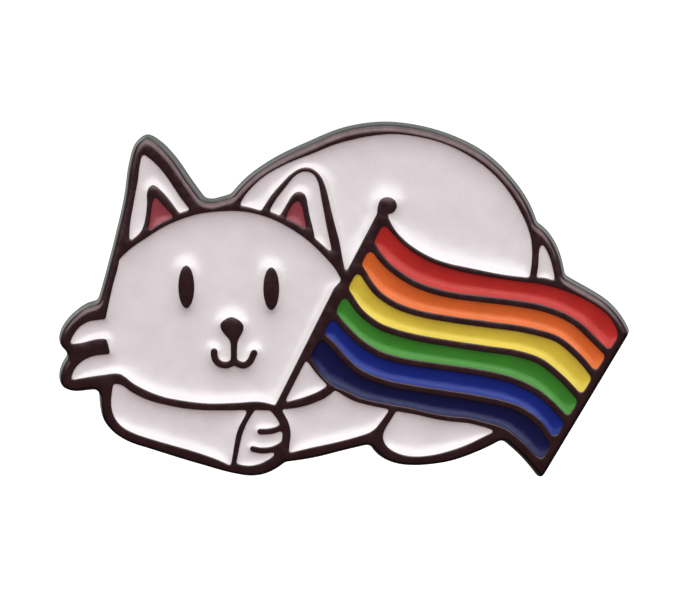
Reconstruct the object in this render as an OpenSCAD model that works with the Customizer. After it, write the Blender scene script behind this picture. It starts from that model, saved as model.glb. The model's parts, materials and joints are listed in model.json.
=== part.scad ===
// Soft-enamel pin: a white cat lying behind a six-stripe flag, struck in black-nickel metal,
// with enamel in the pools between the raised lines and two butterfly clutches on the back.
//
// Frame: millimetres, the pin upright as it is worn. The front of the pin faces -Y, +X is to the
// viewer's right and +Z is up. The origin is on the back face, midway between the two posts.

/* [Pin] */
// Width over the fringe of fur and the corner of the flag
pin_width = 32.4; // [30:0.1:40]
// Thickness from the back face to the top of the raised lines
base_thickness = 1.5; // [1.2:0.1:2.5]
// Depth of the enamel pools below the raised lines
pool_depth = 0.6; // [0.4:0.05:0.8]
// How far the enamel stays below the raised lines
enamel_drop = 0.2; // [0.1:0.05:0.3]
// Width of the raised lines between the stripes of the flag
stripe_line = 0.36; // [0.2:0.02:0.4]
// Width of the raised lines of the mouth
mouth_line = 0.38; // [0.25:0.01:0.45]
// Width of the raised lines between the toes
toe_line = 0.33; // [0.25:0.01:0.4]

/* [Posts] */
// Distance between the two posts
post_spacing = 14; // [12.5:0.5:16]
// Diameter of a post
post_diameter = 1.15; // [1:0.05:1.3]
// Length of a post from the back face to its tip
post_length = 8; // [7.5:0.5:10]
// Diameter of the pad that joins a post to the back
pad_diameter = 4.4; // [3.5:0.1:5]
// Thickness of that pad
pad_thickness = 0.4; // [0.3:0.05:0.6]

/* [Clutches] */
// Gap left for the cloth between the back face and a clutch
cloth_gap = 3; // [2.9:0.1:3.5]
// Diameter of the clutch disc
disc_diameter = 11.4; // [10:0.2:12]
// Diameter of the round housing on the disc
housing_diameter = 6.4; // [6.4:0.1:7]
// Height of the housing
housing_height = 2.6; // [2.6:0.1:3]
// Sheet metal of the clutches
sheet = 0.35; // [0.3:0.01:0.4]
// Half the spread of the two wings
wing_reach = 5.3; // [4.8:0.1:5.6]
// Width of a wing at its lobe
wing_width = 4.6; // [4:0.1:5]

/* [Hidden] */
$fn = 48;
// The drawing below is laid out for a pin of this width
drawn_width = 32.4;
art_scale = pin_width / drawn_width;
// Height on the drawing of the line through the two posts
post_line_z = -0.8;
floor_thickness = base_thickness - pool_depth;
enamel_thickness = pool_depth - enamel_drop;
// Longest straight step along a curved outline
curve_step = 0.4;
// Radii left in the corners of the pools, of the stripes and of the silhouette
pool_corner = 0.1;
stripe_corner = 0.2;
rim_corner = 0.24;
post_x = post_spacing / 2;
post_radius = post_diameter / 2;
// A pad stands in a round seat in the back face
seat_depth = 0.15;
seat_clearance = 0.05;
cut = 1;

white = "#e9e4e6";
pink = "#b9515f";
flag_colours = ["#b01f26", "#c8632a", "#d5bf35", "#37802a", "#1a2f8c", "#1c1658"];

// Round grooves that the clutch jaws click into, then the point
groove_depth = 0.12;
groove_width = 0.6;
groove_pitch = 1.2;
first_groove = 3.1;
groove_count = 3;
groove_radius = (pow(groove_width / 2, 2) + pow(groove_depth, 2)) / (2 * groove_depth);
point_length = 1.2;
point_radius = 0.12;

// Clutch sizes are measured from the face of the disc that rests on the cloth
disc_radius = disc_diameter / 2;
disc_bore = 0.82;
rolled_rim = 0.3;
housing_radius = housing_diameter / 2;
housing_shoulder = 0.5;
slot_length = 4.5;
slot_width = 3.3;
top_of_housing = sheet + housing_height;
wing_sheet = 0.42;
jaw_level = 1.3;
jaw_reach = 0.72;
jaw_width = 2.4;
arm_offset = 1.55;
pivot_level = top_of_housing - sheet / 2;
flare_level = top_of_housing + 0.3;
wing_top = 5.6;
neck_width = 3;
neck_fillet = 0.5;
lobe_length = 3.2;
spring_level = 2.15;
spring_radius = 2.55;
spring_wire = 0.34;
spring_opening = 60;

// ---- Curves ------------------------------------------------------------------------------------

function reach(a, b) = norm(b - a);

// Unit-speed direction of the curve through the knots p at an inner knot i
function inner_heading(p, i) =
    let (before = reach(p[i - 1], p[i]), after = reach(p[i], p[i + 1]))
    ((p[i + 1] - p[i]) * before / after + (p[i] - p[i - 1]) * after / before) / (before + after);

// The same at any knot; the end spans are parabolas
function heading(p, i) =
    let (last = len(p) - 1)
    i == 0 ? 2 * (p[1] - p[0]) / reach(p[0], p[1]) - inner_heading(p, 1)
    : i == last ? 2 * (p[last] - p[last - 1]) / reach(p[last - 1], p[last]) - inner_heading(p, last - 1)
    : inner_heading(p, i);

function hermite(a, b, leave, arrive, u) =
    (2 * pow(u, 3) - 3 * pow(u, 2) + 1) * a + (pow(u, 3) - 2 * pow(u, 2) + u) * leave
    + (3 * pow(u, 2) - 2 * pow(u, 3)) * b + (pow(u, 3) - pow(u, 2)) * arrive;

// Points of the smooth curve through the knots p, without its last point
function smooth(p) =
    len(p) < 3 ? [p[0]]
    : [for (i = [0 : len(p) - 2])
        let (span = reach(p[i], p[i + 1]), steps = max(2, ceil(span / curve_step)))
        for (j = [0 : steps - 1])
            hermite(p[i], p[i + 1], heading(p, i) * span, heading(p, i + 1) * span, j / steps)];

function curve(p) = concat(smooth(p), [p[len(p) - 1]]);

function reversed(p) = [for (i = [len(p) - 1 : -1 : 0]) p[i]];

// A closed outline of smooth runs; each run starts at a corner and ends at the next run's corner
function outline(runs) =
    [for (k = [0 : len(runs) - 1]) each smooth(concat(runs[k], [runs[(k + 1) % len(runs)][0]]))];

function normal(p, i) =
    let (a = p[max(i - 1, 0)], b = p[min(i + 1, len(p) - 1)], along = (b - a) / reach(a, b))
    [-along[1], along[0]];

// A band of constant width with round ends along the points of a path
module band(path, width) {
    thread = 0.01;
    left = [for (i = [0 : len(path) - 1]) path[i] + normal(path, i) * thread];
    right = [for (i = [0 : len(path) - 1]) path[i] - normal(path, i) * thread];
    offset(r = width / 2 - thread, $fn = 16) polygon(concat(left, reversed(right)));
}

// The same along the smooth curve through the knots p
module stroke(p, width) {
    band(curve(p), width);
}

// Rounds every corner, inside and outside, by the same small radius
module soften(radius = pool_corner) {
    offset(r = -radius, $fn = 16)
        offset(r = 2 * radius, $fn = 16)
            offset(r = -radius, $fn = 16)
                children();
}

// Places the flat drawing so that its origin falls midway between the posts
module drawing() {
    scale([art_scale, art_scale]) translate([0, -post_line_z]) children();
}

// ---- Drawing: the silhouette ---------------------------------------------------------------------

silhouette = outline([
    // Cheek, outer edge of the left ear and its tip
    [[-13.88, 1.02], [-13.38, 2.76], [-12.92, 4.51], [-12.35, 6.96], [-12.05, 8.9], [-11.72, 9.88],
     [-11.0, 10.41], [-10.4, 10.1], [-9.5, 9.22], [-8.56, 7.88]],
    // Crown of the head
    [[-7.8, 6.82], [-7.35, 6.76], [-6.9, 6.87]],
    // Back of the cat
    [[-6.32, 7.03], [-5.5, 7.93], [-4, 9.0], [-2, 9.97], [0, 10.77], [2.4, 11.1], [4, 10.94],
     [6, 10.4], [8, 9.38], [9.5, 7.98], [10.5, 6.55]],
    // Outside of the tail
    [[10.96, 5.43], [11.5, 5.0], [11.92, 4.42], [12.26, 3.68], [12.48, 2.85]],
    // Top edge of the flag beyond the tail
    [[12.56, 2.44], [13.2, 2.08], [14, 1.63], [14.94, 1.02], [15.53, 0.43], [15.94, -0.15]],
    // Free edge of the flag, straight down to its lower corner
    [[16.25, -0.8]],
    [[11.22, -9.31], [10.36, -8.18], [9.55, -7.38]],
    // Hind foot
    [[9.01, -6.94], [8.4, -7.28], [7.5, -7.69], [6, -8.2], [5, -8.36], [4, -8.42], [3, -8.31],
     [2.35, -8.06], [1.76, -7.59]],
    // Belly
    [[1.52, -7.21], [0, -7.57], [-1.5, -7.95]],
    // Paw, left foreleg and the lower fringe of fur
    [[-3.3, -8.23], [-4, -8.72], [-4.6, -8.95], [-5.3, -9.02], [-6, -8.92], [-8, -8.39],
     [-11, -7.46], [-12.05, -7.12], [-13.02, -6.54], [-13.6, -5.82], [-13.82, -4.85]],
    [[-13.84, -4.07], [-14.5, -4.12], [-15, -4.18], [-15.45, -4.15], [-15.92, -3.92],
     [-16.12, -3.42], [-16.02, -2.78], [-15.78, -2.3]],
    // Upper fringe of fur
    [[-15.52, -1.96], [-15.9, -1.72], [-16.1, -1.3], [-16.06, -0.85], [-15.75, -0.23],
     [-15.15, 0.4], [-14.5, 0.85], [-14.15, 0.96]]
]);

module silhouette_2d() {
    drawing() soften(rim_corner) polygon(silhouette);
}

// ---- Drawing: the white and pink pools -----------------------------------------------------------

head = outline([
    [[-12.55, 3.4], [-12, 3.93], [-11, 4.63], [-10, 5.25], [-9, 5.68], [-8, 5.97], [-7, 6.09],
     [-6, 6.12], [-5, 5.99], [-4, 5.68], [-3, 5.17], [-2, 4.48], [-1, 3.52], [-0.5, 2.95]],
    [[-0.1, 2.25]],
    [[-0.52, 1.76]],
    [[-3.82, -4.84], [-4.5, -4.65], [-6, -4.69], [-7.5, -4.73], [-9, -4.57], [-10, -4.38],
     [-11.07, -3.99], [-11.9, -3.53], [-12.5, -3.06], [-13.5, -3.11], [-14.5, -3.26]],
    [[-15.32, -3.4], [-15.1, -2.78], [-14.5, -2.22], [-13.8, -2.0], [-13.4, -1.96]],
    [[-13.08, -1.92]],
    [[-13.3, -1.08], [-13.6, -1.06], [-14.1, -1.14], [-14.7, -1.3]],
    [[-15.36, -1.36], [-15.2, -0.93], [-14.77, -0.37], [-14.3, -0.1], [-13.85, -0.02]],
    [[-13.34, 0.04], [-13.17, 0.84], [-12.9, 2.02], [-12.66, 2.85]]
]);

nose = outline([
    [[-5.95, -1.6], [-5.93, -1.25], [-5.72, -0.82], [-5.58, -0.48], [-5.63, -0.23], [-5.9, 0.02],
     [-6.27, 0.17], [-6.62, 0.04], [-6.9, -0.23], [-6.88, -0.45], [-6.7, -0.78], [-6.45, -1.05],
     [-6.33, -1.3]],
    [[-6.32, -1.6]]
]);

nose_stem = [[-6.14, -1.3], [-6.14, -1.8], [-6.14, -2.34]];
mouth_left = [[-7.25, -1.78], [-7.22, -2.15], [-7.04, -2.42], [-6.67, -2.56], [-6.36, -2.5],
              [-6.14, -2.3]];
mouth_right = [[-6.14, -2.3], [-5.9, -2.49], [-5.57, -2.57], [-5.27, -2.4], [-5.11, -2.12],
               [-5.0, -1.86]];
stem_line = 0.35;
left_eye = [-8.8, 1.86];
right_eye = [-4.03, 1.76];
eye_width = 0.9;
eye_height = 2.42;

module eye(centre) {
    translate(centre) scale([eye_width, eye_height]) circle(d = 1, $fn = 40);
}

module head_2d() {
    drawing() soften() difference() {
        polygon(head);
        eye(left_eye);
        eye(right_eye);
        polygon(nose);
        stroke(nose_stem, stem_line);
        stroke(mouth_left, mouth_line);
        stroke(mouth_right, mouth_line);
    }
}

left_ear = outline([
    [[-11.98, 4.42], [-11.97, 5.0], [-11.7, 6.7], [-11.47, 7.9], [-11.35, 8.8], [-11.18, 9.3],
     [-10.9, 9.12], [-10, 8.2], [-9.5, 7.47], [-9, 6.72]],
    [[-8.55, 6.17], [-8.88, 6.1], [-9.0, 6.06]],
    [[-9.16, 5.98], [-9.35, 6.24], [-9.78, 6.82], [-10.28, 7.36], [-10.67, 7.6], [-10.92, 7.35],
     [-10.98, 6.5], [-11.1, 5.6], [-11.27, 5.06], [-11.52, 4.76]]
]);

left_inner_ear = outline([
    [[-10.97, 4.96], [-10.84, 5.5], [-10.7, 6.4], [-10.55, 6.92], [-10.3, 6.7], [-9.85, 6.2]],
    [[-9.48, 5.82], [-9.8, 5.68], [-10.28, 5.42]]
]);

right_ear = outline([
    [[-4.14, 6.1], [-3.8, 6.7], [-3.2, 7.48], [-2.75, 8.03], [-2.4, 8.28], [-2.0, 8.34],
     [-1.65, 8.18], [-1.42, 7.8], [-1.25, 7.0], [-1.06, 6.0], [-0.87, 5.0], [-0.72, 4.3]],
    [[-0.58, 3.72], [-1.0, 4.08], [-1.35, 4.4]],
    [[-1.6, 4.6], [-1.65, 5.0], [-1.78, 5.5], [-1.9, 6.0], [-2.0, 6.6], [-2.15, 7.07],
     [-2.45, 7.22], [-2.75, 7.1], [-3.1, 6.6], [-3.4, 6.1]],
    [[-3.57, 5.82], [-3.74, 5.95], [-3.95, 6.03]]
]);

right_inner_ear = outline([
    [[-3.22, 5.72], [-2.95, 6.3], [-2.7, 6.62], [-2.5, 6.7], [-2.33, 6.45], [-2.18, 5.8]],
    [[-2.02, 5.02], [-2.3, 5.24], [-2.6, 5.43]]
]);

// The back runs round the ball on top of the flag pole
back = outline([
    [[-5.8, 6.42], [-5.5, 6.98], [-5, 7.55], [-4.5, 8.0], [-3.5, 8.6], [-1.5, 9.42], [-0.5, 9.83],
     [0.5, 10.11], [1.5, 10.31], [2.75, 10.43], [4, 10.31], [6, 9.75], [7, 9.24], [8, 8.56],
     [9, 7.56], [10, 5.98], [10.35, 5.2], [10.55, 4.5], [10.6, 3.9], [10.57, 3.1]],
    [[10.46, 2.38], [9, 2.55], [7, 2.95], [6, 3.16], [5, 3.5], [4, 4.06], [3.5, 4.44],
     [3.0, 4.95], [2.7, 5.42]],
    [[2.47, 5.96], [2.83, 6.04], [3.03, 6.4], [2.9, 6.74], [2.5, 6.91], [2.12, 6.79],
     [1.96, 6.44]],
    [[1.92, 6.0]],
    [[0.18, 2.68]],
    [[0.1, 2.8], [-0.04, 3.5], [-0.2, 4.4], [-0.4, 5.15], [-0.62, 6.0], [-0.85, 7.0],
     [-1.03, 7.62], [-1.32, 8.17], [-1.7, 8.48], [-2.05, 8.57], [-2.45, 8.49], [-2.8, 8.28],
     [-3.5, 7.6], [-4, 7.02], [-4.3, 6.58]],
    [[-4.58, 6.14], [-5, 6.26], [-5.4, 6.36]]
]);

tail = outline([
    [[10.84, 2.38], [10.95, 3.0], [10.98, 3.5], [11.02, 4.0], [11.16, 4.25], [11.34, 4.05],
     [11.54, 3.65], [11.75, 2.97]],
    [[11.91, 2.2], [11.7, 2.26], [11.45, 2.34], [11.2, 2.38]]
]);

left_foreleg = outline([
    [[-12.92, -3.62], [-12.5, -3.66], [-12, -4.02], [-11, -4.53], [-10, -4.8], [-9, -5.0],
     [-8, -5.1], [-6.8, -5.12]],
    [[-5.38, -5.1], [-5.56, -5.49], [-5.84, -6.0], [-6.02, -6.5], [-6.15, -7.2]],
    [[-6.33, -8.27], [-7, -7.95], [-8, -7.58], [-10, -6.99], [-11, -6.69], [-12, -6.32],
     [-12.53, -5.98], [-12.9, -5.48], [-13.06, -4.85], [-13.04, -4.3]]
]);

paw = outline([
    [[-4.97, -5.1]],
    [[-4.12, -5.12], [-3.72, -5.6], [-3.48, -6.1], [-3.42, -6.55], [-3.52, -7.05],
     [-3.82, -7.6], [-4.2, -7.9], [-4.7, -8.15], [-5.25, -8.26], [-5.7, -8.22]],
    [[-6.03, -8.12], [-5.9, -7.5], [-5.68, -6.5], [-5.5, -6.0], [-5.22, -5.49]]
]);
upper_toe = [[-3.3, -5.98], [-3.75, -6.21], [-4.2, -6.31], [-4.68, -6.32]];
lower_toe = [[-3.3, -6.95], [-3.8, -7.27], [-4.3, -7.39], [-4.75, -7.38], [-5.1, -7.3]];

module paw_2d() {
    drawing() soften() difference() {
        polygon(paw);
        stroke(upper_toe, toe_line);
        stroke(lower_toe, toe_line);
    }
}

belly = outline([
    [[-3.52, -5.05], [-3, -5.02], [-2.5, -4.95], [-2, -4.83], [-1.5, -4.64], [-1, -4.41],
     [-0.7, -4.19]],
    [[-0.45, -3.97], [0, -4.25], [0.5, -4.54], [1, -4.71], [2, -4.94]],
    [[2.62, -5.06], [2.37, -5.43], [2.1, -5.8], [1.85, -6.12], [1.5, -6.37], [1.0, -6.55],
     [0, -6.83], [-2, -7.28]],
    [[-3.06, -7.54], [-3.01, -7.0], [-2.95, -6.5], [-3.0, -6.05], [-3.16, -5.6]]
]);

chest = outline([
    [[-2.06, -2.24], [-1.74, -2.73], [-1.3, -3.27]],
    [[-0.86, -3.7], [-1.5, -4.1], [-2, -4.3], [-2.5, -4.46]],
    [[-3.3, -4.67]]
]);

hind_foot = outline([
    [[3.0, -5.15], [3.5, -5.25], [4, -5.33], [5, -5.57], [6, -5.74], [7, -5.83], [7.7, -5.99]],
    [[8.6, -6.29], [8, -6.57], [7, -7.06], [6, -7.42], [5, -7.66], [4.2, -7.74], [3.5, -7.68],
     [2.85, -7.44], [2.4, -7.08], [2.24, -6.6], [2.36, -6.2], [2.68, -5.68]]
]);

// ---- Drawing: the stripes of the flag --------------------------------------------------------------

// Centres of the lines across the flag, from the pole to the free edge and from the top down
flag_lines = [
    [[2.27, 5.8], [2.75, 5.16], [3.35, 4.52], [4.06, 3.93], [5.05, 3.4], [6.03, 3.07],
     [8.02, 2.64], [10.02, 2.34], [11.02, 2.22], [12.04, 1.97], [13.05, 1.61], [14.06, 1.1],
     [15.05, 0.35], [15.48, -0.3], [15.66, -0.95]],
    [[1.53, 4.45], [2.07, 3.55], [2.5, 3.08], [3, 2.67], [4, 2.05], [5, 1.66], [6, 1.42],
     [8, 1.155], [10, 0.9], [11, 0.71], [12, 0.4], [13, -0.11], [14, -1.02], [15, -2.03]],
    [[0.82, 3.15], [1.12, 2.66], [1.5, 2.03], [2, 1.45], [2.5, 1.08], [3, 0.8], [4, 0.44],
     [6, 0.04], [8, -0.24], [10, -0.51], [11, -0.73], [12, -1.06], [13, -1.84], [14.21, -3.3]],
    [[0.08, 1.8], [0.36, 1.34], [0.75, 0.74], [1.0, 0.43], [1.5, 0.0], [2, -0.33],
     [3, -0.71], [4, -0.97], [6, -1.33], [8, -1.63], [10, -1.95], [11, -2.29], [12, -3.03],
     [13, -4.03], [13.45, -4.59]],
    [[-0.63, 0.5], [-0.29, 0.03], [0.5, -0.83], [1, -1.28], [1.5, -1.63], [2, -1.9], [3, -2.23],
     [4, -2.43], [6, -2.71], [8, -3.03], [9, -3.25], [10, -3.6], [11, -4.13], [12, -5.02],
     [12.69, -5.82]],
    [[-1.33, -0.78], [-0.74, -1.27], [-0.25, -1.82], [0.25, -2.39], [1, -2.98], [2, -3.42],
     [4, -3.87], [6, -4.17], [8, -4.51], [9, -4.73], [10, -5.09], [11, -5.81], [11.4, -6.31],
     [11.9, -7.12]],
    [[-2.0, -1.98], [-1.88, -2.37], [-1.6, -2.87], [-1.1, -3.5], [-0.55, -3.92], [0, -4.15],
     [1, -4.6], [2, -4.83], [4, -5.21], [5, -5.45], [6, -5.62], [7, -5.71], [8, -5.96],
     [9.05, -6.3], [10.08, -7.12], [10.7, -7.75], [11.22, -8.25]]
];

// A stripe lies between two neighbouring lines
module stripe_2d(i) {
    drawing() soften(stripe_corner) offset(delta = -stripe_line / 2)
        polygon(concat(curve(flag_lines[i]), reversed(curve(flag_lines[i + 1]))));
}

module pool_2d(knots) {
    drawing() soften() polygon(knots);
}

// ---- Struck metal and enamel ---------------------------------------------------------------------

// Everything drawn above is laid flat with the front upwards; this stands it up facing -Y
module upright() {
    rotate([90, 0, 0]) children();
}

module pocket() {
    translate([0, 0, floor_thickness]) linear_extrude(pool_depth + cut) children();
}

module base_metal() {
    color("#2b2629") upright() difference() {
        linear_extrude(base_thickness) silhouette_2d();
        pocket() head_2d();
        pocket() pool_2d(left_ear);
        pocket() pool_2d(left_inner_ear);
        pocket() pool_2d(right_ear);
        pocket() pool_2d(right_inner_ear);
        pocket() pool_2d(back);
        pocket() pool_2d(tail);
        pocket() pool_2d(left_foreleg);
        pocket() paw_2d();
        pocket() pool_2d(belly);
        pocket() pool_2d(chest);
        pocket() pool_2d(hind_foot);
        for (i = [0 : 5])
            pocket() stripe_2d(i);
        for (side = [-1, 1])
            translate([side * post_x, 0, -cut])
                cylinder(r = pad_diameter / 2 + seat_clearance, h = cut + seat_depth);
    }
}

module enamel(shade) {
    color(shade) upright()
        translate([0, 0, floor_thickness]) linear_extrude(enamel_thickness) children();
}

module stripe_enamel(i) {
    enamel(flag_colours[i]) stripe_2d(i);
}

// ---- Posts ---------------------------------------------------------------------------------------

// Half section of a post, from the bottom of its pad in the seat to its point
module post_section() {
    pad_top = pad_thickness - seat_depth;
    neck = post_length - point_length;
    difference() {
        polygon([[0, -seat_depth], [pad_diameter / 2, -seat_depth], [pad_diameter / 2, pad_top],
                 [post_radius, pad_top], [post_radius, neck], [point_radius, post_length],
                 [0, post_length]]);
        for (k = [0 : groove_count - 1])
            translate([post_radius - groove_depth + groove_radius, first_groove + k * groove_pitch])
                circle(r = groove_radius);
    }
}

module post(side) {
    color("#3a3437") translate([side * post_x, 0, 0]) rotate([-90, 0, 0])
        rotate_extrude() post_section();
}

// ---- Butterfly clutches --------------------------------------------------------------------------

// Clutch parts are drawn round the post with the disc face at height zero
module on_post(side) {
    translate([side * post_x, cloth_gap, 0]) rotate([-90, 0, 0]) children();
}

// Stamped disc with a rolled rim and a funnel that guides the point of the post
module clutch_disc(side) {
    funnel = 0.35;
    color("#b9b9bd") on_post(side) rotate_extrude() difference() {
        union() {
            translate([disc_bore, 0]) square([disc_radius - rolled_rim - disc_bore, sheet]);
            translate([disc_radius - rolled_rim, rolled_rim]) circle(r = rolled_rim);
        }
        polygon([[disc_bore - cut, -cut], [disc_bore + funnel, -cut], [disc_bore + funnel, 0],
                 [disc_bore, funnel / 2], [disc_bore - cut, funnel / 2]]);
    }
}

// Round can on the disc, slotted across its top for the two wings
module clutch_housing(side) {
    color("#c4c4c8") on_post(side) difference() {
        rotate_extrude() difference() {
            union() {
                translate([0, sheet]) square([housing_radius, housing_height - housing_shoulder]);
                translate([0, sheet]) square([housing_radius - housing_shoulder, housing_height]);
                translate([housing_radius - housing_shoulder, top_of_housing - housing_shoulder])
                    circle(r = housing_shoulder);
            }
            translate([-cut, sheet - cut])
                square([housing_radius - sheet + cut, housing_height - housing_shoulder + cut]);
            translate([-cut, sheet - cut])
                square([housing_radius - housing_shoulder + cut, housing_height - sheet + cut]);
        }
        translate([-slot_length / 2, -slot_width / 2, top_of_housing - cut])
            cube([slot_length, slot_width, 2 * cut]);
    }
}

// Open ring of wire round the two wings that pulls their jaws onto the post
module clutch_spring(side) {
    color("#8f8f95") on_post(side) translate([0, 0, spring_level])
        rotate([0, 0, 90 + spring_opening / 2]) rotate_extrude(angle = 360 - spring_opening)
            translate([spring_radius, 0]) circle(d = spring_wire);
}

// Bent strip that a wing is folded from, seen along its hinge: jaw, arm, then the flare
module wing_side_2d() {
    jaw_start = jaw_reach - post_radius;
    run = wing_reach - arm_offset;
    rise = wing_top - flare_level;
    flare = [[arm_offset, pivot_level], [arm_offset, flare_level],
             [arm_offset + 0.2 * run, flare_level + 0.4 * rise],
             [arm_offset + 0.6 * run, flare_level + 0.75 * rise],
             [wing_reach - wing_sheet / 2, wing_top - wing_sheet / 2]];
    band(concat([[jaw_start, jaw_level], [arm_offset, jaw_level]], curve(flare)), wing_sheet);
}

// The flare seen along the post: a neck as wide as the slot, then the lobe that the finger presses
module wing_plan_2d() {
    lobe_centre = wing_reach - lobe_length / 2;
    offset(r = -neck_fillet) offset(delta = neck_fillet) {
        translate([0, -neck_width / 2]) square([lobe_centre, neck_width]);
        translate([lobe_centre, 0]) scale([lobe_length / wing_width, 1]) circle(d = wing_width);
    }
}

// A wing points away from the post along +X when direction is 1 and along -X when it is -1
module clutch_wing(side, direction) {
    neck_level = flare_level - wing_sheet;
    color("#bcbcc1") on_post(side) scale([direction, 1, 1]) difference() {
        intersection() {
            rotate([90, 0, 0]) translate([0, 0, -wing_width])
                linear_extrude(2 * wing_width) wing_side_2d();
            union() {
                translate([0, -jaw_width / 2, 0]) cube([wing_reach, jaw_width, flare_level]);
                translate([0, 0, neck_level]) linear_extrude(wing_top - neck_level) wing_plan_2d();
            }
        }
        translate([0, 0, -cut]) cylinder(r = jaw_reach, h = jaw_level + 2 * cut);
    }
}

// ---- Nodes ---------------------------------------------------------------------------------------

base_metal();

enamel(white) head_2d();  // head_enamel
enamel(white) pool_2d(left_ear);  // left_ear_enamel
enamel(pink) pool_2d(left_inner_ear);  // left_inner_ear_enamel
enamel(white) pool_2d(right_ear);  // right_ear_enamel
enamel(pink) pool_2d(right_inner_ear);  // right_inner_ear_enamel
enamel(white) pool_2d(back);  // back_enamel
enamel(white) pool_2d(tail);  // tail_enamel
enamel(white) pool_2d(left_foreleg);  // left_foreleg_enamel
enamel(white) paw_2d();  // paw_enamel
enamel(white) pool_2d(belly);  // belly_enamel
enamel(white) pool_2d(chest);  // chest_enamel
enamel(white) pool_2d(hind_foot);  // hind_foot_enamel
stripe_enamel(0);  // red_stripe_enamel
stripe_enamel(1);  // orange_stripe_enamel
stripe_enamel(2);  // yellow_stripe_enamel
stripe_enamel(3);  // green_stripe_enamel
stripe_enamel(4);  // blue_stripe_enamel
stripe_enamel(5);  // violet_stripe_enamel

post(-1);  // left_post
post(1);  // right_post

clutch_disc(-1);  // left_clutch_disc
clutch_housing(-1);  // left_clutch_housing
clutch_spring(-1);  // left_clutch_spring
clutch_wing(-1, -1);  // left_clutch_outer_wing
clutch_wing(-1, 1);  // left_clutch_inner_wing

clutch_disc(1);  // right_clutch_disc
clutch_housing(1);  // right_clutch_housing
clutch_spring(1);  // right_clutch_spring
clutch_wing(1, 1);  // right_clutch_outer_wing
clutch_wing(1, -1);  // right_clutch_inner_wing
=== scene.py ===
"""Looks of a soft-enamel pin: struck black-nickel metal, enamel dished between its raised lines, and
two butterfly clutches behind.

Lengths are in millimetres until a mesh is made, which is in metres, as the lights are. Flat drawings
use (x, z) as they are seen from the front. Depth is counted back from the top of the raised lines,
towards +Y.
"""

import json
import math

import bmesh
import bpy
import numpy as np
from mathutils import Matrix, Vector
from mathutils.geometry import delaunay_2d_cdt
from mathutils.kdtree import KDTree

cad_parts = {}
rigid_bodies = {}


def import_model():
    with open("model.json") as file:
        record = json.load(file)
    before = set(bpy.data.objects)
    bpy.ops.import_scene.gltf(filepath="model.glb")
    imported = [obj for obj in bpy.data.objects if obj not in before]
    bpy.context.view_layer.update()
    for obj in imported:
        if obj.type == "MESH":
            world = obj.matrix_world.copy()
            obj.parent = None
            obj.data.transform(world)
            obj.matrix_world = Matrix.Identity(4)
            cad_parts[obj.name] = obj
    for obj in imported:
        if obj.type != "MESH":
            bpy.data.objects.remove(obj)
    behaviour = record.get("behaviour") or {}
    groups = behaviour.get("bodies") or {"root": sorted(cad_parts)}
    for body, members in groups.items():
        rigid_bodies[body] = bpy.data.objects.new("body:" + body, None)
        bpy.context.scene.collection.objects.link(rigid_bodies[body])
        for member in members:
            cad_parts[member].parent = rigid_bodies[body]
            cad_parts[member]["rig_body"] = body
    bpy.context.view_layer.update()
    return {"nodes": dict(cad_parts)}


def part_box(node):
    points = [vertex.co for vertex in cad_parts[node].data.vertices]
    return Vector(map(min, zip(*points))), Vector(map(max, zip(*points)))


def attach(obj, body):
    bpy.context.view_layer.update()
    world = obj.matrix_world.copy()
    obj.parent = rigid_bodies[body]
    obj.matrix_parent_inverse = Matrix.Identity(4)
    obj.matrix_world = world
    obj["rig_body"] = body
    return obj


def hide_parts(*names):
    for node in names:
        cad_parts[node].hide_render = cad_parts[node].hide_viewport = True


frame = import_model()

MM = 0.001

# Outlines read from the CAD
WELD = 0.002  # corners closer than this are one corner
LEVEL_SLACK = 0.001  # how far the corners of a flat face may lie from its level
OUTLINE_STEP = 0.12  # greatest spacing of the points along an outline
LARGEST_SEAT = 100  # square millimetres: more than a post's seat, less than the whole back

# Struck metal
RIDGE_ROUND = 0.045  # radius worn on the edges of the raised lines
RIDGE_TURNS = (22.5, 45, 67.5, 90)  # degrees round that radius which have their own points
# Rounded shoulder of the outer rim: distance in from the silhouette, depth
SHOULDER = [(0.0, 1.42), (0.1, 0.69), (0.18, 0.21), (0.22, 0.112), (0.26, 0.064), (0.3, 0.041),
            (0.36, 0.024), (0.44, 0.0085), (0.52, 0.0)]
BACK_ROUND = 0.06  # radius of the edge round the back
ROUND_MIDDLE = 0.3  # share of a radius that a rounded edge's middle lies in from the corner
RING_KEEP = 0.97  # share of its own inset that a point keeps from every other outline
POOL_KEEP = 0.03  # least distance from a point on the shoulder to a pool

# Enamel
BRIM_DEPTH = 0.09  # where the enamel meets the metal
DISH = 0.24  # how far it would sink in a very wide pool
CREEP = 0.42  # distance over which it climbs to the metal
FINE_STEP = 0.14  # spacing of points near a wall
COARSE_STEP = 0.45  # spacing of points in the middle of a pool
FINE_BAND = 1.3  # how far from a wall the fine points reach
WALL_GAP = 0.08  # between a wall and the first fine points
BAND_GAP = 0.1  # between the fine and the coarse points
WHITE_POOLS = ["head", "left_ear", "right_ear", "back", "tail", "left_foreleg", "paw", "belly",
               "chest", "hind_foot"]
PINK_POOLS = ["left_inner_ear", "right_inner_ear"]

# Clutches and posts
EDGE_ROUND = 0.05  # width of the rounding on a stamped edge
SHARP_EDGE = 40  # degrees between two faces from which their edge is rounded
ONE_FACE = 1  # degrees between two faces up to which they are one
TURN_SEGMENTS = 96

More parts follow.
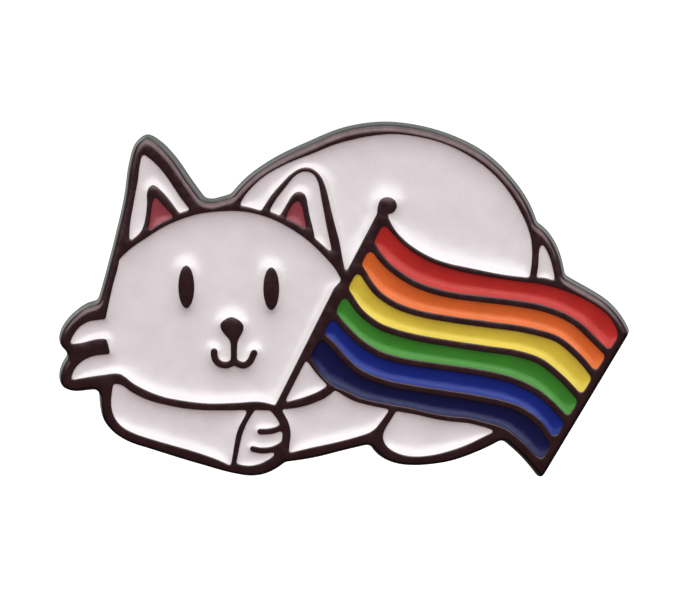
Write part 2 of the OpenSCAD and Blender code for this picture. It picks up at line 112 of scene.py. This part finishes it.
# Colours of enamel and plating
WHITE = (0.80, 0.79, 0.81)
PINK = (0.28, 0.055, 0.07)
STRIPES = {
    "red": (0.46, 0.026, 0.022),
    "orange": (0.71, 0.14, 0.028),
    "yellow": (0.68, 0.54, 0.055),
    "green": (0.038, 0.22, 0.024),
    "blue": (0.006, 0.021, 0.2),
    "violet": (0.004, 0.0075, 0.055),
}
PLATING_DARK = (0.078, 0.058, 0.06)
PLATING_PALE = (0.1, 0.076, 0.078)
PLATING_WORN = (0.2, 0.19, 0.185)
BRIGHT_NICKEL = (0.5, 0.49, 0.47)
SPRING_STEEL = (0.45, 0.45, 0.47)
POST_NICKEL = (0.16, 0.15, 0.155)

# Values that most of a noise takes, and nearly all of it
MIDDLE_BAND = (0.35, 0.65)
WIDE_BAND = (0.3, 0.7)

# Room that the metal reflects: above and below the horizon, and around the viewer
ROOM_ABOVE = (0.4, 0.44, 0.43)
ROOM_BELOW = (0.05, 0.04, 0.04)
ROOM_FRONT = (0.27, 0.14, 0.15)
HORIZON = (-0.3, 0.3)  # up-down part of a direction, from dark below to pale above
FRONT_EDGE = (-0.95, -0.3)  # back-front part of a direction, from the viewer's side to the rest
BACKDROP = (1.2, 1.2, 1.2)  # plain white behind the pin

# Softboxes: direction from the pin, distance, width and height in metres, and power in watts
SOFTBOXES = {
    "strip": ((0, -1, 0.29), 0.3, (0.4, 0.1), 0.25),
    "key": ((0, -1, 2.1), 0.45, (0.8, 0.9), 4.2),
    "back_left": ((-1, 0.9, 0.35), 0.4, (0.5, 0.4), 0.2),
    "back_right": ((1, 0.9, 0.35), 0.4, (0.5, 0.4), 0.17),
}

# Camera
ELEVATION = 4.5  # degrees
AIM = (0.39, 1.92)
VIEW_WIDTH = 39.3
LENS = 150
SENSOR = 36

# Floor, in metres
FLOOR_REACH = 3.0
FLOOR_LEVEL = -0.03
FLOOR_GLOW = 0.9  # strength of its own light


# ---- Flat outlines -------------------------------------------------------------------------------

def end_loops(node, side):
    """Closed outlines of a CAD node's flat front (side -1) or back (side 1)."""
    shape = bmesh.new()
    shape.from_mesh(frame["nodes"][node].data)
    bmesh.ops.remove_doubles(shape, verts=shape.verts, dist=WELD * MM)
    level = max(v.co.y * side for v in shape.verts) * side
    flat = [f for f in shape.faces if all(abs(v.co.y - level) < LEVEL_SLACK * MM for v in f.verts)]
    level_faces = set(flat)  # quick to look up, while the list keeps the order the same in every run
    following = {}
    for face in flat:
        for corner in face.loops:
            if sum(f in level_faces for f in corner.edge.link_faces) == 1:
                following[corner.vert] = corner.link_loop_next.vert
    loops = []
    while following:
        start, here = following.popitem()
        loop = [start]
        while here != start:
            loop.append(here)
            here = following.pop(here)
        loops.append(np.array([(v.co.x, v.co.z) for v in loop]) / MM)
    shape.free()
    return loops


def area(loop):
    """Area inside an outline, positive if it runs counterclockwise."""
    following = np.roll(loop, -1, 0)
    return 0.5 * float(np.sum(loop[:, 0] * following[:, 1] - following[:, 0] * loop[:, 1]))


def evened(loop, passes=3):
    """The same outline, counterclockwise, with points close together and its facets smoothed."""
    loop = loop if area(loop) > 0 else loop[::-1]
    points = []
    for a, b in zip(loop, np.roll(loop, -1, 0)):
        pieces = max(1, math.ceil(np.linalg.norm(b - a) / OUTLINE_STEP))
        points += [a + (b - a) * k / pieces for k in range(pieces)]
    points = np.array(points)
    for _ in range(passes):
        points = (np.roll(points, 1, 0) + 2 * points + np.roll(points, -1, 0)) / 4
    return points


def inset(loop, distance):
    """The outline moved towards its inside, or outwards if distance is negative."""
    along = np.roll(loop, -1, 0) - np.roll(loop, 1, 0)
    along /= np.linalg.norm(along, axis=1)[:, None]
    return loop + distance * np.stack([-along[:, 1], along[:, 0]], 1)


def distance_to(points, loops):
    """Distance from each point to the nearest of the outlines."""
    corners = np.concatenate(loops)
    before = np.concatenate([np.roll(loop, 1, 0) for loop in loops])
    after = np.concatenate([np.roll(loop, -1, 0) for loop in loops])
    tree = KDTree(len(corners))
    for i, (x, z) in enumerate(corners):
        tree.insert((x, z, 0), i)
    tree.balance()
    near = np.array([tree.find((x, z, 0))[1] for x, z in points], int)
    away = points - corners[near]
    nearest = np.full(len(points), np.inf)
    for ends in (before, after):
        span = ends[near] - corners[near]
        share = np.clip((away * span).sum(1) / (span ** 2).sum(1), 0, 1)
        nearest = np.minimum(nearest, np.linalg.norm(away - share[:, None] * span, axis=1))
    return nearest


def inside(points, loops, batch=1500):
    """True for each point that an odd number of the outlines goes round."""
    crossings = np.zeros(len(points), int)
    for loop in loops:
        following = np.roll(loop, -1, 0)
        rise = following[:, 1] - loop[:, 1]
        slope = (following[:, 0] - loop[:, 0]) / np.where(rise == 0, 1, rise)
        for start in range(0, len(points), batch):
            some = slice(start, start + batch)
            x, z = points[some, 0:1], points[some, 1:2]
            spans = (loop[:, 1] > z) != (following[:, 1] > z)
            crossings[some] += (spans & (x < loop[:, 0] + (z - loop[:, 1]) * slope)).sum(1)
    return crossings % 2 == 1


def grid(loops, step):
    """Points of a triangular grid over the outlines' box."""
    every = np.concatenate(loops)
    low, high = every.min(0), every.max(0)
    rows = np.arange(low[1], high[1], step * math.sqrt(3) / 2)
    columns = np.arange(low[0], high[0], step)
    return np.array([(x + (i % 2) * step / 2, z) for i, z in enumerate(rows) for x in columns])


def triangulated(loops, extra=()):
    """Triangles that an odd number of the outlines goes round, using the extra points too.

    Returns the points, the triangles and, for each outline, the indices of its points.
    """
    corners = np.concatenate([*loops, extra]) if len(extra) else np.concatenate(loops)
    outlines, start = [], 0
    for loop in loops:
        outlines.append(list(range(start, start + len(loop))))
        start += len(loop)
    every_triangle, closest = 0, 1e-7
    points, _, triangles, origins, _, rounds = delaunay_2d_cdt(
        [Vector(c) for c in corners], [], outlines, every_triangle, closest)
    faces = np.array([f for f, going_round in zip(triangles, rounds) if len(going_round) % 2])
    where = {old: new for new, olds in enumerate(origins) for old in olds}
    rims = [[where[i] for i in outline] for outline in outlines]
    return np.array([tuple(v) for v in points]), faces, rims


# ---- Levels and outlines of the CAD --------------------------------------------------------------

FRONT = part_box("base_metal")[0].y / MM
THICKNESS = -FRONT
POCKET_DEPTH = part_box("head_enamel")[1].y / MM - FRONT
SEAT_DEPTH = -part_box("left_post")[0].y / MM
SILHOUETTE = evened(max(end_loops("base_metal", -1), key=lambda loop: abs(area(loop))))
SEATS = [evened(loop, passes=0) for loop in end_loops("base_metal", 1)
         if abs(area(loop)) < LARGEST_SEAT]

# Outlines of each pool: the one round it first, then those round the metal that stands in it
POOLS = {node: sorted(map(evened, end_loops(node, -1)), key=area, reverse=True)
         for node in frame["nodes"] if node.endswith("_enamel")}


# ---- Building solids -----------------------------------------------------------------------------

class Solid:
    """Points and faces of one piece, gathered surface by surface."""

    def __init__(self):
        self.points, self.faces = [], []

    def sheet(self, flat, depth, faces, towards_front):
        """Adds a surface over flat points, and returns where its points start."""
        start = len(self.points)
        depth = np.broadcast_to(depth, len(flat))
        self.points += [(x, FRONT + d, z) for (x, z), d in zip(flat, depth)]
        order = 1 if towards_front else -1
        self.faces += [tuple(start + i for i in face[::order]) for face in faces]
        return start

    def wall(self, near, far, outwards):
        """Joins two rings of point numbers, counterclockwise seen from the front."""
        for i in range(len(near)):
            j = (i + 1) % len(near)
            face = (near[i], far[i], far[j], near[j])
            self.faces.append(face if outwards else face[::-1])

    def mesh(self, name):
        mesh = bpy.data.meshes.new(name)
        mesh.from_pydata([Vector(p) * MM for p in self.points], [], self.faces)
        mesh.validate()
        mesh.update()
        return mesh


def numbered(start, rim):
    """A rim's point numbers in a solid whose surface starts at a number."""
    return [start + i for i in rim]


def place(name, mesh, node, material, smooth=35):
    """Makes the piece that stands for a CAD node and rides on that node's body.

    Edges sharper than smooth, in degrees, stay sharp.
    """
    mesh.shade_smooth()
    mesh.set_sharp_from_angle(angle=math.radians(smooth))
    piece = bpy.data.objects.new(name, mesh)
    bpy.context.scene.collection.objects.link(piece)
    piece.data.materials.append(material)
    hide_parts(node)
    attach(piece, frame["nodes"][node]["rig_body"])


# ---- Enamel --------------------------------------------------------------------------------------

def dished(points, faces, rims, most_steps=400, solved=1e-14):
    """Share of the brim's height at each point of a liquid surface that creeps up its walls.

    A liquid's height h obeys laplace(h) = h / CREEP^2, with h = 1 at the walls. It is found by
    conjugate gradients on the triangles.
    """
    count = len(points)
    rows, columns, weights = [], [], []
    lumped = np.zeros(count)
    for k in range(3):
        a, b, c = faces[:, k], faces[:, (k + 1) % 3], faces[:, (k + 2) % 3]
        u, v = points[a] - points[c], points[b] - points[c]
        cross = np.abs(u[:, 0] * v[:, 1] - u[:, 1] * v[:, 0])
        weight = 0.5 * (u * v).sum(1) / np.maximum(cross, 1e-9)
        rows += [a, b]
        columns += [b, a]
        weights += [weight, weight]
        lumped += np.bincount(a, cross / 6, count)
    rows, columns, weights = map(np.concatenate, (rows, columns, weights))
    weights = np.maximum(weights, 0)  # obtuse corners would pull the wrong way
    diagonal = np.bincount(rows, weights, count) + lumped / CREEP ** 2
    free = np.ones(count, bool)
    for rim in rims:
        free[rim] = False

    def applied(h):
        return diagonal * h - np.bincount(rows, weights * h[columns], count)

    h = (~free).astype(float)
    left = np.where(free, -applied(h), 0)
    step = left / diagonal
    energy = left @ step
    for _ in range(most_steps):
        if energy < solved:
            break
        image = np.where(free, applied(step), 0)
        share = energy / (step @ image)
        h += share * step
        left -= share * image
        renewed = left @ (left / diagonal)
        step = left / diagonal + renewed / energy * step
        energy = renewed
    return h


def enamel(node, material):
    """Fill of one pool: a dished top, the pool's floor, and walls between them."""
    loops = POOLS[node]
    fine, coarse = grid(loops, FINE_STEP), grid(loops, COARSE_STEP)
    fine, coarse = fine[inside(fine, loops)], coarse[inside(coarse, loops)]
    fine_reach, coarse_reach = distance_to(fine, loops), distance_to(coarse, loops)
    extra = np.concatenate([fine[(fine_reach > WALL_GAP) & (fine_reach < FINE_BAND)],
                            coarse[coarse_reach >= FINE_BAND + BAND_GAP]])
    points, faces, rims = triangulated(loops, extra)
    solid = Solid()
    depth = BRIM_DEPTH + DISH * (1 - dished(points, faces, rims))
    top = solid.sheet(points, depth, faces, True)
    points, faces, floor_rims = triangulated(loops)
    bottom = solid.sheet(points, POCKET_DEPTH, faces, False)
    for k, (rim, floor_rim) in enumerate(zip(rims, floor_rims)):
        solid.wall(numbered(top, rim), numbered(bottom, floor_rim), k == 0)
    place(node + "_dished", solid.mesh(node), node, material)


# ---- Struck metal --------------------------------------------------------------------------------

def top_points(loops, pool_loops, towards_metal):
    """Extra points for the top: rings round every pool, and rings in from the silhouette."""
    rings = []
    for turn in RIDGE_TURNS:
        d = RIDGE_ROUND * (1 - math.cos(math.radians(turn)))
        ring = np.concatenate([inset(loop, sign * d) for loop, sign in zip(pool_loops, towards_metal)])
        rings.append(ring[distance_to(ring, loops) > RING_KEEP * d])
    for d, _ in SHOULDER[1:]:
        ring = inset(SILHOUETTE, d)
        ring = ring[inside(ring, loops)]
        rings.append(ring[(distance_to(ring, [SILHOUETTE]) > RING_KEEP * d)
                          & (distance_to(ring, loops) > POOL_KEEP)])
    return np.concatenate(rings)


def struck_metal(material):
    """The plate: top with worn ridges and a shoulder, empty pools, and a back with post seats."""
    pool_loops = [loop for loops in POOLS.values() for loop in loops]
    # Metal lies outside the outline round a pool, and inside one round metal that stands in it
    towards_metal = [1 if k else -1 for loops in POOLS.values() for k in range(len(loops))]
    loops = [SILHOUETTE] + pool_loops
    points, faces, rims = triangulated(loops, top_points(loops, pool_loops, towards_metal))
    sink = np.clip(1 - distance_to(points, pool_loops) / RIDGE_ROUND, 0, 1)
    worn = RIDGE_ROUND * (1 - np.sqrt(1 - sink ** 2))
    shoulder = np.interp(distance_to(points, [SILHOUETTE]), *zip(*SHOULDER))
    solid = Solid()
    top = solid.sheet(points, np.maximum(worn, shoulder), faces, True)

    points, faces, floor_rims = triangulated(pool_loops)
    floor = solid.sheet(points, POCKET_DEPTH, faces, True)
    for rim, floor_rim, sign in zip(rims[1:], floor_rims, towards_metal):
        solid.wall(numbered(top, rim), numbered(floor, floor_rim), sign > 0)

    points, faces, back_rims = triangulated([inset(SILHOUETTE, BACK_ROUND)] + SEATS)
    back = solid.sheet(points, THICKNESS, faces, False)
    middle = ROUND_MIDDLE * BACK_ROUND
    round_start = solid.sheet(inset(SILHOUETTE, middle), THICKNESS - middle, [], True)
    round_ring = numbered(round_start, range(len(SILHOUETTE)))
    solid.wall(numbered(top, rims[0]), round_ring, True)
    solid.wall(round_ring, numbered(back, back_rims[0]), True)
    for seat, rim in zip(SEATS, back_rims[1:]):
        points, faces, seat_rims = triangulated([seat])
        bottom = solid.sheet(points, THICKNESS - SEAT_DEPTH, faces, False)
        solid.wall(numbered(bottom, seat_rims[0]), numbered(back, rim), False)
    place("struck_metal", solid.mesh("struck_metal"), "base_metal", material, smooth=50)


# ---- Clutches and posts --------------------------------------------------------------------------

def refined(node, material):
    """A copy of a stamped CAD piece with its sharp edges rounded over."""
    shape = bmesh.new()
    shape.from_mesh(frame["nodes"][node].data)
    bmesh.ops.remove_doubles(shape, verts=shape.verts, dist=WELD * MM)
    bmesh.ops.dissolve_limit(shape, angle_limit=math.radians(ONE_FACE), verts=shape.verts,
                             edges=shape.edges)
    sharp = [e for e in shape.edges
             if e.is_manifold and e.calc_face_angle() > math.radians(SHARP_EDGE)]
    bmesh.ops.bevel(shape, geom=sharp, offset=EDGE_ROUND * MM, segments=3, profile=0.5,
                    affect="EDGES", clamp_overlap=True)
    mesh = bpy.data.meshes.new(node + "_rounded")
    shape.to_mesh(mesh)
    shape.free()
    place(node + "_rounded", mesh, node, material)


def turned(name, profile, centre, start):
    """A solid turned about a post: profile is a closed run of (radius, level behind start)."""
    points, faces = [], []
    for s in range(TURN_SEGMENTS):
        turn = 2 * math.pi * s / TURN_SEGMENTS
        points += [Vector((centre + r * math.cos(turn), start + level, r * math.sin(turn))) * MM
                   for r, level in profile]
    n = len(profile)
    for s in range(TURN_SEGMENTS):
        for i in range(n):
            a, b = s * n, (s + 1) % TURN_SEGMENTS * n
            faces.append((a + i, a + (i + 1) % n, b + (i + 1) % n, b + i))
    mesh = bpy.data.meshes.new(name)
    mesh.from_pydata(points, [], faces)
    shape = bmesh.new()
    shape.from_mesh(mesh)
    bmesh.ops.recalc_face_normals(shape, faces=shape.faces)
    shape.to_mesh(mesh)
    shape.free()
    return mesh


def arc(centre, radius, start, end, steps):
    """Points round a centre, from one angle in degrees to another."""
    angles = [math.radians(start + (end - start) * k / steps) for k in range(steps + 1)]
    return [(centre[0] + radius * math.cos(a), centre[1] + radius * math.sin(a)) for a in angles]


def disc(side, material):
    """Stamped disc: rolled rim, one pressed bead, and a funnel down to the bore."""
    node = side + "_clutch_disc"
    low, high = (np.array(v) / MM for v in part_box(node))
    centre, outer = (low[0] + high[0]) / 2, (high[0] - low[0]) / 2
    roll, sheet, bore, mouth = 0.3, 0.35, 0.82, 0.3
    bead, bead_reach, bead_height, bead_points = 4.35, 0.5, 0.12, 13
    swell = [(bead + bead_reach * u, bead_height * math.cos(math.pi / 2 * u) ** 2)
             for u in np.linspace(-1, 1, bead_points)]
    rim = arc((outer - roll, roll), roll, -90, 150, steps=16)
    raised = [(radius, sheet + level) for radius, level in reversed(swell)]
    # From the sheet's far face round the bore to its near face
    funnel = [(bore + mouth, sheet), (bore + 0.05, sheet - 0.03), (bore, sheet - 0.1), (bore, 0.2),
              (bore + 0.08, 0.08), (bore + mouth, 0.0)]
    mesh = turned(node, swell + rim + raised + funnel, centre, low[1])
    place(node + "_stamped", mesh, node, material)


# ---- Materials -----------------------------------------------------------------------------------

def mapped(tree, source, start, end, low=0, high=1, kind="LINEAR"):
    """Maps start..end of a socket's value to low..high."""
    node = tree.nodes.new("ShaderNodeMapRange")
    node.interpolation_type = kind
    for socket, value in zip(("From Min", "From Max", "To Min", "To Max"), (start, end, low, high)):
        node.inputs[socket].default_value = value
    tree.links.new(source, node.inputs["Value"])
    return node.outputs["Result"]


def mixed(tree, share, a, b):
    """Mixes two colours, each of them a tuple or a socket."""
    node = tree.nodes.new("ShaderNodeMix")
    node.data_type = "RGBA"
    tree.links.new(share, node.inputs["Factor"])
    for socket, value in zip([s for s in node.inputs if s.type == "RGBA"], (a, b)):
        if isinstance(value, tuple):
            socket.default_value = (*value, 1)
        else:
            tree.links.new(value, socket)
    return next(s for s in node.outputs if s.type == "RGBA")


class Recipe:
    """A material under construction, whose textures are measured in millimetres."""

    def __init__(self, name, **settings):
        self.material = bpy.data.materials.new(name)
        self.material.use_nodes = True
        self.tree = self.material.node_tree
        self.shader = self.tree.nodes["Principled BSDF"]
        for socket, value in settings.items():
            self.shader.inputs[socket.replace("_", " ")].default_value = value
        place_in = self.tree.nodes.new("ShaderNodeTexCoord")
        self.millimetres = self.scaled_place(place_in.outputs["Object"], (1 / MM, 1 / MM, 1 / MM))

    def scaled_place(self, source, scale):
        node = self.tree.nodes.new("ShaderNodeMapping")
        node.inputs["Scale"].default_value = scale
        self.tree.links.new(source, node.inputs["Vector"])
        return node.outputs["Vector"]

    def noise(self, scale, detail, roughness=0.5, stretch=None):
        node = self.tree.nodes.new("ShaderNodeTexNoise")
        node.inputs["Scale"].default_value = scale
        node.inputs["Detail"].default_value = detail
        node.inputs["Roughness"].default_value = roughness
        source = self.scaled_place(self.millimetres, stretch) if stretch else self.millimetres
        self.tree.links.new(source, node.inputs["Vector"])
        return node.outputs["Fac"]

    def bump(self, height, distance, below=None):
        node = self.tree.nodes.new("ShaderNodeBump")
        node.inputs["Distance"].default_value = distance * MM
        self.tree.links.new(height, node.inputs["Height"])
        if below:
            self.tree.links.new(below, node.inputs["Normal"])
        return node.outputs["Normal"]

    def ramp(self, source, start, end, low=0, high=1):
        return mapped(self.tree, source, start, end, low, high)

    def mix(self, share, a, b):
        return mixed(self.tree, share, a, b)

    def feed(self, socket, source):
        self.tree.links.new(source, self.shader.inputs[socket])


def scaled(colour, factor):
    return tuple(min(1.0, c * factor) for c in colour)


def enamel_material(name, colour, mottle):
    """Baked enamel: cloudy pigment, faint orange peel and a few darker grains.

    Light that glances off the pigment just under the surface tints the highlights.
    """
    recipe = Recipe(name, IOR=1.5, Specular_IOR_Level=1.0)
    gain, least = 1.2, 0.03
    glance = [min(1.0, gain * math.sqrt(c + least)) for c in colour]
    recipe.shader.inputs["Specular Tint"].default_value = (*glance, 1)
    cloud = recipe.ramp(recipe.noise(0.7, detail=3), *MIDDLE_BAND)
    clouded = recipe.mix(cloud, scaled(colour, 1 - mottle), scaled(colour, 1 + mottle))
    grains = recipe.ramp(recipe.noise(14, detail=2), start=0.66, end=0.74)
    recipe.feed("Base Color", recipe.mix(grains, clouded, scaled(colour, 0.8)))
    gloss = recipe.ramp(recipe.noise(2.5, detail=3), *MIDDLE_BAND, low=0.14, high=0.24)
    recipe.feed("Roughness", gloss)
    waves = recipe.bump(recipe.noise(1.1, detail=1), distance=0.02)
    peel = recipe.bump(recipe.noise(9, detail=2), distance=0.0015, below=waves)
    recipe.feed("Normal", peel)
    return recipe.material


def black_nickel_material():
    """Dark plating over struck metal, with the die's fine grain and bright worn specks."""
    recipe = Recipe("black_nickel_plating", Metallic=1.0)
    cloud = recipe.ramp(recipe.noise(1.6, detail=4), *MIDDLE_BAND)
    tone = recipe.mix(cloud, PLATING_DARK, PLATING_PALE)
    specks = recipe.ramp(recipe.noise(9, detail=3, roughness=0.7), start=0.7, end=0.78)
    recipe.feed("Base Color", recipe.mix(specks, tone, PLATING_WORN))
    gloss = recipe.ramp(recipe.noise(3, detail=3), *WIDE_BAND, low=0.13, high=0.22)
    recipe.feed("Roughness", gloss)
    waves = recipe.bump(recipe.noise(3, detail=2), distance=0.002)
    grain = recipe.bump(recipe.noise(14, detail=2), distance=0.0006, below=waves)
    recipe.feed("Normal", grain)
    return recipe.material


def nickel_material(name, colour, rough, stretch):
    """Bright plated sheet with fine polishing lines and cloudy fingerprints."""
    recipe = Recipe(name, Metallic=1.0)
    cloud = recipe.ramp(recipe.noise(0.5, detail=4), *MIDDLE_BAND)
    recipe.feed("Base Color", recipe.mix(cloud, scaled(colour, 0.86), colour))
    lines = recipe.noise(1.0, detail=3, stretch=stretch)
    gloss = recipe.ramp(lines, *WIDE_BAND, low=rough - 0.06, high=rough + 0.1)
    recipe.feed("Roughness", gloss)
    recipe.feed("Normal", recipe.bump(lines, distance=0.003))
    return recipe.material


# ---- Stage ---------------------------------------------------------------------------------------

def camera():
    """Looks at the front from a little above, through a long lens."""
    elevation = math.radians(ELEVATION)
    target = Vector((AIM[0], FRONT, AIM[1])) * MM
    data = bpy.data.cameras.new("camera")
    data.lens, data.sensor_width = LENS, SENSOR
    distance = VIEW_WIDTH * MM * LENS / SENSOR
    back = Vector((0, -math.cos(elevation), math.sin(elevation)))
    made = bpy.data.objects.new("camera", data)
    made.location = target + back * distance
    made.rotation_euler = (-back).to_track_quat("-Z", "Y").to_euler()
    data.clip_start, data.clip_end = distance / 100, distance * 100
    bpy.context.scene.collection.objects.link(made)
    bpy.context.scene.camera = made


def softbox(name, direction, distance, size, power):
    """An area light that faces the pin from a direction."""
    data = bpy.data.lights.new(name, "AREA")
    data.shape = "RECTANGLE"
    data.size, data.size_y = size
    data.energy = power
    light = bpy.data.objects.new(name, data)
    light.location = Vector(direction).normalized() * distance
    light.rotation_euler = (-Vector(direction)).to_track_quat("-Z", "Y").to_euler()
    light.visible_camera = False
    bpy.context.scene.collection.objects.link(light)


def room():
    """What the pin reflects: pale above, dark below, and dim and warm around the viewer.

    The camera sees a plain white backdrop instead.
    """
    world = bpy.data.worlds.new("studio")
    bpy.context.scene.world = world
    world.use_nodes = True
    tree = world.node_tree
    place_in = tree.nodes.new("ShaderNodeTexCoord")
    split = tree.nodes.new("ShaderNodeSeparateXYZ")
    tree.links.new(place_in.outputs["Generated"], split.inputs["Vector"])
    above = mapped(tree, split.outputs["Z"], *HORIZON, kind="SMOOTHSTEP")
    past_front = mapped(tree, split.outputs["Y"], *FRONT_EDGE, kind="SMOOTHSTEP")
    lit = mixed(tree, past_front, ROOM_FRONT, mixed(tree, above, ROOM_BELOW, ROOM_ABOVE))
    ray = tree.nodes.new("ShaderNodeLightPath")
    shown = mixed(tree, ray.outputs["Is Camera Ray"], lit, BACKDROP)
    tree.links.new(shown, tree.nodes["Background"].inputs["Color"])
    tree.nodes["Background"].inputs["Strength"].default_value = 1


def paper():
    """Glowing white paper under the pin, which the pin neither reflects nor is lit by."""
    mesh = bpy.data.meshes.new("floor")
    corners = ((-1, -1), (1, -1), (1, 1), (-1, 1))
    mesh.from_pydata([(FLOOR_REACH * x, FLOOR_REACH * y, FLOOR_LEVEL) for x, y in corners], [],
                     [(0, 1, 2, 3)])
    floor = bpy.data.objects.new("floor", mesh)
    bpy.context.scene.collection.objects.link(floor)
    recipe = Recipe("floor_paper", Roughness=0.9, Emission_Strength=FLOOR_GLOW)
    recipe.shader.inputs["Emission Color"].default_value = (1, 1, 1, 1)
    fibres = recipe.noise(0.02, detail=2)
    recipe.feed("Base Color", recipe.mix(fibres, (0.3, 0.3, 0.3), (0.34, 0.34, 0.34)))
    floor.data.materials.append(recipe.material)
    floor.visible_glossy = False
    floor.visible_diffuse = False


# ---- The pin -------------------------------------------------------------------------------------

struck_metal(black_nickel_material())

white = enamel_material("white_enamel_baked", WHITE, mottle=0.03)
pink = enamel_material("pink_enamel_baked", PINK, mottle=0.06)
for name in WHITE_POOLS:
    enamel(name + "_enamel", white)
for name in PINK_POOLS:
    enamel(name + "_enamel", pink)
for name, colour in STRIPES.items():
    stripe = enamel_material(name + "_enamel_baked", colour, mottle=0.06)
    enamel(name + "_stripe_enamel", stripe)

nickel = nickel_material("bright_nickel", BRIGHT_NICKEL, rough=0.3, stretch=(0.6, 14, 0.6))
wire = nickel_material("spring_steel", SPRING_STEEL, rough=0.3, stretch=(4, 4, 4))
post_steel = nickel_material("post_black_nickel", POST_NICKEL, rough=0.28, stretch=(1, 12, 1))
for side in ("left", "right"):
    disc(side, nickel)
    refined(side + "_clutch_housing", nickel)
    refined(side + "_clutch_outer_wing", nickel)
    refined(side + "_clutch_inner_wing", nickel)
    for node, material in ((side + "_clutch_spring", wire), (side + "_post", post_steel)):
        frame["nodes"][node].data.materials.clear()
        frame["nodes"][node].data.materials.append(material)

camera()
room()
for name, settings in SOFTBOXES.items():
    softbox(name, *settings)
paper()
bpy.context.scene.view_settings.view_transform = "Standard"
